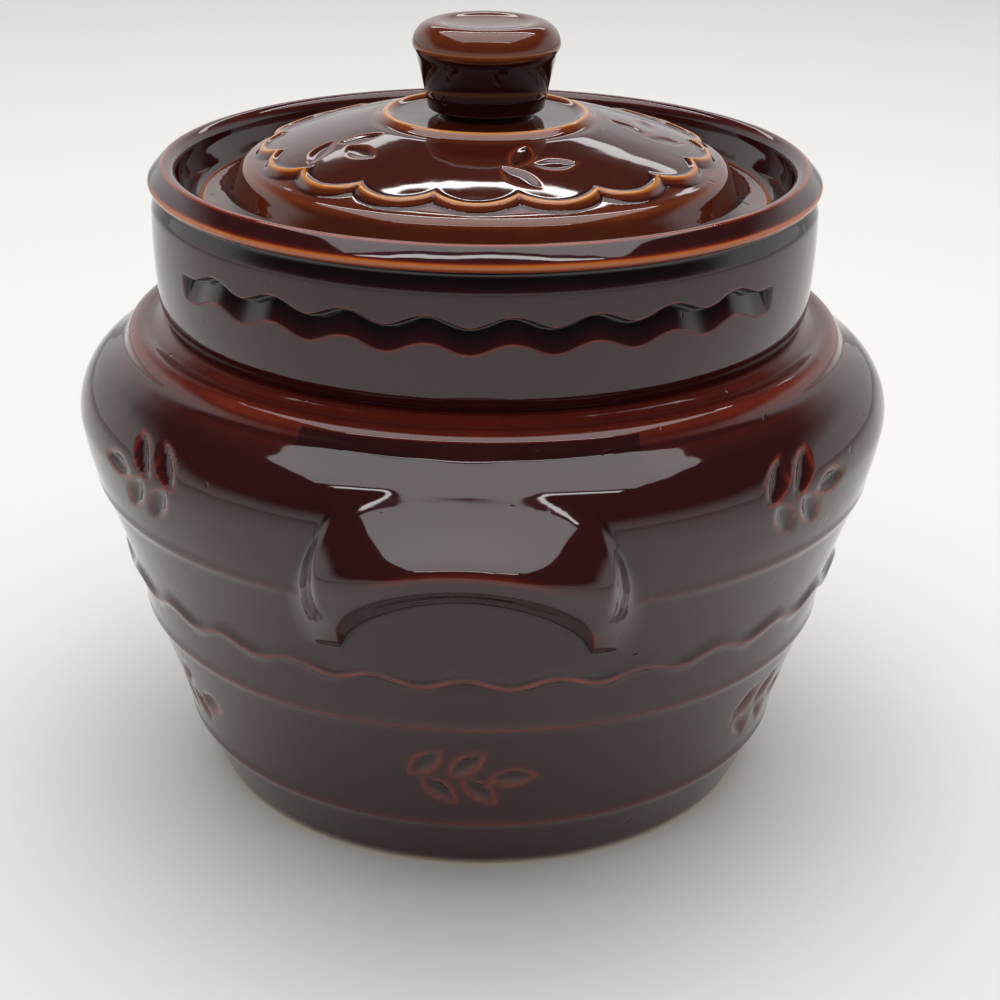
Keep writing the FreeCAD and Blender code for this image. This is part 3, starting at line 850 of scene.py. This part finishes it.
def bodyShape(place, size):
    outside = place.radius.rise(*bodyZones["outside"])
    inBand = place.z.rise(*bodyZones["band"])
    bandAcross = place.angle.wrapped(size["band twig pitch"]) * size["band radius"]
    bandUp = (place.z - size["band twig height"]) * size["band slant"]
    band, bandEdge = pressedLeaves(bandAcross, bandUp, twigs["band"], size["band twig edge"])
    turn = place.angle.wrapped(math.pi).size() - size["shoulder twig turn"]
    shoulderUp = (place.z - size["shoulder twig height"]) * size["shoulder slant"]
    shoulder, shoulderEdge = pressedLeaves(turn * size["shoulder radius"], shoulderUp, twigs["shoulder"],
                                           size["shoulder twig edge"])
    shoulder = shoulder * place.z.fall(*bodyZones["shoulder"])
    pressed = (band * inBand).atLeast(shoulder) * size["twig depth"]
    rise, thinner = ribs(place, size)
    edges = bandEdge * inBand * size["band twig thinning"]
    edges = edges.atLeast(shoulderEdge * size["shoulder twig thinning"])
    # above the root's heights the glaze is shifted lighter, partly for thin glaze and partly as a painted sheen
    shift = (thinner + edges) * outside + place.z.rise(*bodyZones["root"]) * size["root thinning and painted sheen"]
    return (rise - pressed) * outside + place.unevenness(size["unevenness"]), shift


neckRelief = {
    "groove height": 137.0,
    "groove swing": 1.25,
    "groove pitch": 13.0,
    "groove reach": 53.2,
    "groove width": 5.7,
    "groove depth": 2.3,
    "groove slope": 0.55,
    # painted shade: how much darker the inside of the groove is made
    "groove painted shade": 0.35,
    "brink place": 0.95,
    "brink spread": 0.22,
    "brink thinning": 0.06,
    "twig height": 137.0,
    "twig depth": 1.1,
    "twig edge": 0.45,
    "twig thinning": 0.24,
    "lip height": 152.4,
    "lip spread": 1.2,
    "lip thinning": 0.2,
    # a band of painted shade under the lip's roll: its height, its spread and how dark it is
    "undercut height": 149.0,
    "undercut spread": 1.9,
    "undercut painted shade": 0.36,
    "neck radius": 80.0,
    "unevenness": 0.22,
}

# the groove's brow and ends are in shares of half its width
neckZones = {"outside": (76.0, 77.5), "lip": (79.4, 80.3), "grooveBrow": (0.86, 1.08), "grooveEnd": (0.3, 1.0)}


# The groove swings up and down on the front and the rear of the neck, and a twig is pressed at each side.
def neckShape(place, size):
    outside = place.radius.rise(*neckZones["outside"])
    degrees = place.angle.wrapped(math.pi) * math.degrees(1.0)
    inReach = degrees.atMost(size["groove reach"]).atLeast(-size["groove reach"])
    waves = (inReach * 360.0 / size["groove pitch"] * math.radians(1.0)).math("COSINE")
    halfWidth = size["groove width"] * 0.5
    up = (place.z - size["groove height"] + waves * size["groove swing"]) / halfWidth
    over = (degrees - inReach).size() * math.radians(1.0) * size["neck radius"] / halfWidth
    inside = over.fall(*neckZones["grooveEnd"])
    slope = ((up + 1.0) * size["groove slope"]).atLeast(0.0).atMost(1.0)
    groove = slope * up.fall(*neckZones["grooveBrow"]) * inside
    brink = (up + size["brink place"]).ridge(size["brink spread"]) * inside
    side = (place.angle + math.pi / 2).wrapped(math.pi) * size["neck radius"]
    twig, twigEdge = pressedLeaves(side, place.z - size["twig height"], twigs["neck"], size["twig edge"])
    pressed = (groove * size["groove depth"]).atLeast(twig * size["twig depth"])
    lip = (place.z - size["lip height"]).ridge(size["lip spread"]) * place.radius.rise(*neckZones["lip"])
    # painted shade: a dark band round the neck under the lip's roll
    undercut = (place.z - size["undercut height"]).ridge(size["undercut spread"]) * outside
    # painted shade darkens the inside of the groove; the brink and the twigs' edges thin the glaze
    onWall = (twigEdge * size["twig thinning"] + brink * size["brink thinning"]
              - groove * size["groove painted shade"]) * outside
    shift = onWall + lip * size["lip thinning"] - undercut * size["undercut painted shade"]
    return place.unevenness(size["unevenness"]) - pressed * outside, shift


ribHeights = [ribRelief[name] for name in ("foot rib height", "lower rib height", "wave height")]
pot = buildPot(potForm, lugForm, ribHeights)
potBody = turnedPiece("pot_body_form", pot["grid"], True)
frontLug, frontHidden = lugPiece("front_lug_form", pot, lugForm["backDepth"])
rearLug, rearHidden = lugPiece("rear_lug_form", pot, lugForm["backDepth"], turnedRound=True)
print("pot body and lugs formed:", pot["grid"].shape, pot["skin"].shape)

neckOutline = eased(traced(potForm["neck"]), potForm["ease"]["neck"])
neckRows = rowsByStretch(neckOutline, potForm["neckStretches"])[:-1]
neckClose = np.array([potForm["inside"][0][:2]], float)
neckGrid = turnedGrid(np.vstack((neckRows, neckClose)), evenAngles(potForm["neckColumns"]))
potNeck = turnedPiece("pot_neck_form", neckGrid, False)
print("neck formed:", neckGrid.shape)

bodyTree = reliefTree("body relief", bodyRelief, bodyShape, bareBelow=potForm["bareBelow"])
relieved(potBody, bodyTree, bodyRelief, potGlaze, bareClay)
relieved(potNeck, reliefTree("neck relief", neckRelief, neckShape), neckRelief, potGlaze)
lugTree = reliefTree("lug relief", ribRelief, lugShape)
relieved(frontLug, lugTree, ribRelief, potGlaze)
relieved(rearLug, lugTree, ribRelief, potGlaze)
keepBreaking(potBody, pot["hidden"])
keepBreaking(potNeck)
keepBreaking(frontLug, frontHidden, lugForm["breakingPasses"])
keepBreaking(rearLug, rearHidden, lugForm["breakingPasses"])
print("pot relief pressed")


# The lid is a low dome on a flat seating flange, with a scalloped terrace and a ring round the crown.
lidForm = {
    "outline": [(0.0, 160.7), (22.4, 160.7, 0.75), (50.0, 150.0, 0.9), (54.0, 145.1), (67.8, 145.1, 0.3),
                (69.3, 146.6, 0.4), (67.8, 148.4, -0.6), (61.4, 148.4), (59.4, 152.6, 1.0), (55.6, 156.1, 0.7),
                (25.6, 165.7, 0.75), (22.2, 166.0), (0.0, 166.2)],
    "ease": 0.75,
    "columns": 720,
    # where a stretch of rows starts along the outline, and how many rows it has
    "stretches": [((0.0, 160.7), 12), ((50.0, 150.0), 12), ((67.8, 145.1), 16), ((66.0, 148.4), 16),
                  ((57.5, 154.6), 34), ((45.0, 159.6), 30), ((28.0, 165.0), 15), ((21.0, 166.0), 4)],
}

lidRelief = {
    "scallop count": 17.0,
    "scallop round": 13.5,
    "lobe centre": 41.1,
    "disc share": 0.42,
    "terrace rise": 0.75,
    "least terrace": 0.3,
    "more terrace": 0.7,
    "terrace darkening": 0.14,
    "dome darkening": 0.06,
    "bead rise": 0.75,
    "bead inset": 1.14,
    "bead spread": 0.95,
    "bead thinning": 0.12,
    "twig depth": 0.4,
    "twig radius": 38.5,
    "twig turn": 0.32,
    "twig pitch": math.radians(72.0),
    "twig edge": 0.22,
    "twig thinning": 0.22,
    "ring radius": 23.9,
    "ring spread": 1.5,
    "ring rise": 0.55,
    "ring thinning": 0.16,
    "crown darkening": 0.16,
    "flange darkening": 0.14,
    "unevenness": 0.14,
}

# heights, radii, or distances inside the terrace's edge, between which each part of the lid's relief comes in
lidZones = {
    "dome": (150.0, 151.0),
    "outsideRing": (26.0, 29.0),
    "terraceEdge": (-0.7, 0.6),
    "terraceMore": (24.0, 52.0),
    "insideBead": (1.6, 2.6),
    "ring": (164.0, 165.0),
    "crownTop": (164.5, 165.5),
    "insideRing": (21.0, 23.5),
    "flange": (60.0, 61.5),
}


def lidShape(place, size):
    pitch = size["scallop count"].math("POWER", -1.0) * (2 * math.pi)
    turn = place.angle.wrapped(pitch)
    lobeAcross = turn.math("SINE") * place.radius
    lobeOut = turn.math("COSINE") * place.radius - size["lobe centre"]
    lobe = size["scallop round"] - (lobeAcross.squared() + lobeOut.squared()).math("SQRT")
    disc = size["lobe centre"] + size["scallop round"] * size["disc share"] - place.radius
    inside = lobe.atLeast(disc)
    onDome = place.z.rise(*lidZones["dome"]) * place.radius.rise(*lidZones["outsideRing"])
    share = place.radius.rise(*lidZones["terraceMore"]) * size["more terrace"] + size["least terrace"]
    terrace = inside.rise(*lidZones["terraceEdge"]) * size["terrace rise"] * share
    bead = (inside - size["bead inset"]).ridge(size["bead spread"])
    across = (place.angle - size["twig turn"]).wrapped(size["twig pitch"]) * size["twig radius"]
    twig, twigEdge = pressedLeaves(across, place.radius - size["twig radius"], twigs["lid"], size["twig edge"])
    ring = (place.radius - size["ring radius"]).ridge(size["ring spread"]) * place.z.rise(*lidZones["ring"])
    crown = place.radius.fall(*lidZones["insideRing"]) * place.z.rise(*lidZones["crownTop"])
    flange = place.radius.rise(*lidZones["flange"])
    proud = (terrace + bead * size["bead rise"] - twig * size["twig depth"]) * onDome
    shift = (bead * size["bead thinning"] - inside.rise(*lidZones["insideBead"]) * size["terrace darkening"]
             + twigEdge * size["twig thinning"] - size["dome darkening"]) * onDome
    shift = shift - crown * size["crown darkening"] - flange * size["flange darkening"]
    proud = proud + ring * size["ring rise"] + place.unevenness(size["unevenness"])
    return proud, shift + ring * size["ring thinning"]


lidRows = rowsByStretch(eased(traced(lidForm["outline"]), lidForm["ease"]), lidForm["stretches"])
lid = turnedPiece("lid_form", turnedGrid(lidRows, evenAngles(lidForm["columns"])), True)
relieved(lid, reliefTree("lid relief", lidRelief, lidShape, upwards=True), lidRelief, lidGlaze)
keepBreaking(lid)
print("lid formed")


# The knob flares from a narrow neck to a rounded, slightly dished cap. The cap was dipped in a lighter glaze.
knobForm = {
    "outline": [(0.0, 165.9), (11.2, 165.9), (11.0, 167.0, -0.3), (12.9, 167.5, 0.5), (14.0, 169.0),
                (16.7, 181.0), (17.3, 181.9, 0.2), (17.6, 183.2, 1.1), (13.4, 188.1, 0.25), (9.5, 187.7, -0.15),
                (0.0, 187.1)],
    "ease": 0.5,
    "columns": 240,
    "rows": 96,
    "pull": 1.5,
    "dipScale": 60.0,
}

knobRelief = {
    "dip line": 181.0,
    "dip swing": 0.48,
    "dip softness": 0.6,
    "cap thinning": 0.54,
    "knob darkening": 0.6,
    "unevenness": 0.22,
}


def knobShape(place, size):
    above = place.z - size["dip line"] + place.noise(knobForm["dipScale"]) * size["dip swing"]
    dipped = above.rise(-size["dip softness"], size["dip softness"])
    return place.unevenness(size["unevenness"]), dipped * size["cap thinning"] - size["knob darkening"]


knobRows = rowsAlong(eased(traced(knobForm["outline"]), knobForm["ease"]), knobForm["rows"], knobForm["pull"])
lidKnob = turnedPiece("lid_knob_form", turnedGrid(knobRows, evenAngles(knobForm["columns"])), True)
relieved(lidKnob, reliefTree("knob relief", knobRelief, knobShape), knobRelief, lidGlaze)
keepBreaking(lidKnob)
print("knob formed")


# Which way a turned skin faces along its outline, as (out, up)
def facingOf(outline):
    run = np.gradient(outline, axis=0)
    facing = np.column_stack((run[:, 1], -run[:, 0]))
    return facing / np.linalg.norm(facing, axis=1, keepdims=True)


# The rim along which a lug meets the pot: each point's place in the lug's grid and in the pot's, and the pot's
# own facing there, as it is on both pieces so that the glaze runs over the joint unbroken.
def rimOf(pot, columns):
    facing = facingOf(pot["outline"])
    rows, angles = pot["patchRows"], pot["angles"]
    for rowPlace, row in enumerate(rows):
        for columnPlace, column in enumerate(columns):
            if row in (rows[0], rows[-1]) or column in (columns[0], columns[-1]):
                angle = angles[column % len(angles)]
                out, up = facing[row]
                direction = (out * math.sin(angle), -out * math.cos(angle), up)
                yield (rowPlace, columnPlace), (row, column % len(angles)), direction


# Gives the skin's corners on the rim their facing, and makes the rim a sharp edge for what lies behind it.
def joinFacing(obj, rimFacing, hidden):
    mesh = obj.data
    for edge in mesh.edges:
        if edge.vertices[0] in rimFacing and edge.vertices[1] in rimFacing:
            edge.use_edge_sharp = True
    facing = np.zeros((len(mesh.loops), 3))
    for polygon in mesh.polygons:
        vertices = list(polygon.vertices)
        if hidden[vertices].any():
            continue
        for loop, vertex in zip(polygon.loop_indices, vertices):
            if vertex in rimFacing:
                facing[loop] = rimFacing[vertex]
    mesh.normals_split_custom_set(facing.tolist())


bodyRim = {}
for lug, hidden, side in ((frontLug, frontHidden, "front"), (rearLug, rearHidden, "rear")):
    columns = pot["columns"][side]
    lugRim = {}
    for (rowPlace, columnPlace), (row, column), direction in rimOf(pot, columns):
        lugRim[rowPlace * len(columns) + columnPlace] = direction
        bodyRim[(row - 1) * len(pot["angles"]) + column] = direction
    joinFacing(lug, lugRim, hidden)
joinFacing(potBody, bodyRim, pot["hidden"])
print("seams set")


for piece, body, node, slot in (
    (potBody, "pot", "pot_body", "pot_glaze"),
    (potNeck, "pot", "pot_body", "pot_glaze"),
    (frontLug, "pot", "front_lug", "pot_glaze"),
    (rearLug, "pot", "rear_lug", "pot_glaze"),
    (lid, "lid", "lid", "lid_glaze"),
    (lidKnob, "lid", "lid_knob", "lid_glaze"),
):
    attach(piece, body)
    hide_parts(node)
print("pieces ride on their bodies")


# A plain pale floor, a white background and soft lamps. The background is white low down and dims towards
# the top, later behind the pot than before it, so that the glaze stays deep.
stageSetup = {
    "floorSize": 24.0,
    "floorColour": (210, 209, 206),
    "floorRoughness": 0.7,
    "ambient": 0.8,
    "dimming": 0.94,
    "dimmingReach": 0.3,
    "behindFrom": -0.3,
    "behindTo": 0.5,
    "behindLift": 0.3,
    "lamps": [
        # name, place, what it looks at, width, height, watts
        ("overhead", (0.0, 0.12, 1.25), (0.0, 0.04, 0.1), 1.5, 1.05, 11.0),
        ("near strip", (0.0, -0.46, 1.2), (0.0, 0.0, 0.1), 1.3, 0.05, 1.6),
        ("far strip", (0.0, 0.74, 1.15), (0.0, 0.0, 0.1), 1.3, 0.05, 2.4),
        ("back strip", (0.0, 1.35, 0.95), (0.0, 0.0, 0.15), 1.1, 0.1, 1.0),
    ],
}


def buildStage(setup):
    half = setup["floorSize"] / 2
    mesh = bpy.data.meshes.new("floor")
    corners = [(-half, -half, 0), (half, -half, 0), (half, half, 0), (-half, half, 0)]
    mesh.from_pydata(corners, [], [(0, 1, 2, 3)])
    floor = bpy.data.objects.new("floor", mesh)
    bpy.context.scene.collection.objects.link(floor)
    material = bpy.data.materials.new("floor")
    material.use_nodes = True
    shader = material.node_tree.nodes["Principled BSDF"]
    shader.inputs["Base Color"].default_value = shade(*setup["floorColour"])
    shader.inputs["Roughness"].default_value = setup["floorRoughness"]
    mesh.materials.append(material)

    world = bpy.data.worlds.new("studio")
    bpy.context.scene.world = world
    world.use_nodes = True
    tree = world.node_tree
    tree.nodes.clear()
    output = tree.nodes.new("ShaderNodeOutputWorld")
    background = tree.nodes.new("ShaderNodeBackground")
    backdrop = tree.nodes.new("ShaderNodeBackground")
    background.inputs["Color"].default_value = (1.0, 1.0, 1.0, 1.0)
    background.inputs["Strength"].default_value = setup["ambient"]
    coordinates = tree.nodes.new("ShaderNodeTexCoord")
    split = tree.nodes.new("ShaderNodeSeparateXYZ")
    tree.links.new(coordinates.outputs["Generated"], split.inputs[0])
    height = Field(tree, split.outputs[2])
    behind = Field(tree, split.outputs[1]).rise(setup["behindFrom"], setup["behindTo"])
    high = (height - behind * setup["behindLift"]).rise(0.0, setup["dimmingReach"])
    tree.links.new((-high * setup["dimming"] + 1.0).socket, backdrop.inputs["Strength"])
    path = tree.nodes.new("ShaderNodeLightPath")
    seen = Field(tree, path.outputs["Is Camera Ray"])
    for ray in ("Is Glossy Ray", "Is Transmission Ray"):
        seen = seen.atLeast(Field(tree, path.outputs[ray]))
    mix = tree.nodes.new("ShaderNodeMixShader")
    tree.links.new(seen.socket, mix.inputs[0])
    tree.links.new(background.outputs[0], mix.inputs[1])
    tree.links.new(backdrop.outputs[0], mix.inputs[2])
    tree.links.new(mix.outputs[0], output.inputs["Surface"])

    for name, place, target, width, height, power in setup["lamps"]:
        data = bpy.data.lights.new(name, "AREA")
        data.shape = "RECTANGLE"
        data.size = width
        data.size_y = height
        data.energy = power
        lamp = bpy.data.objects.new(name, data)
        bpy.context.scene.collection.objects.link(lamp)
        lamp.location = place
        lamp.rotation_euler = (Vector(target) - Vector(place)).to_track_quat("-Z", "Y").to_euler()


buildStage(stageSetup)
bpy.context.scene.view_settings.view_transform = "Standard"
print("stage lit")
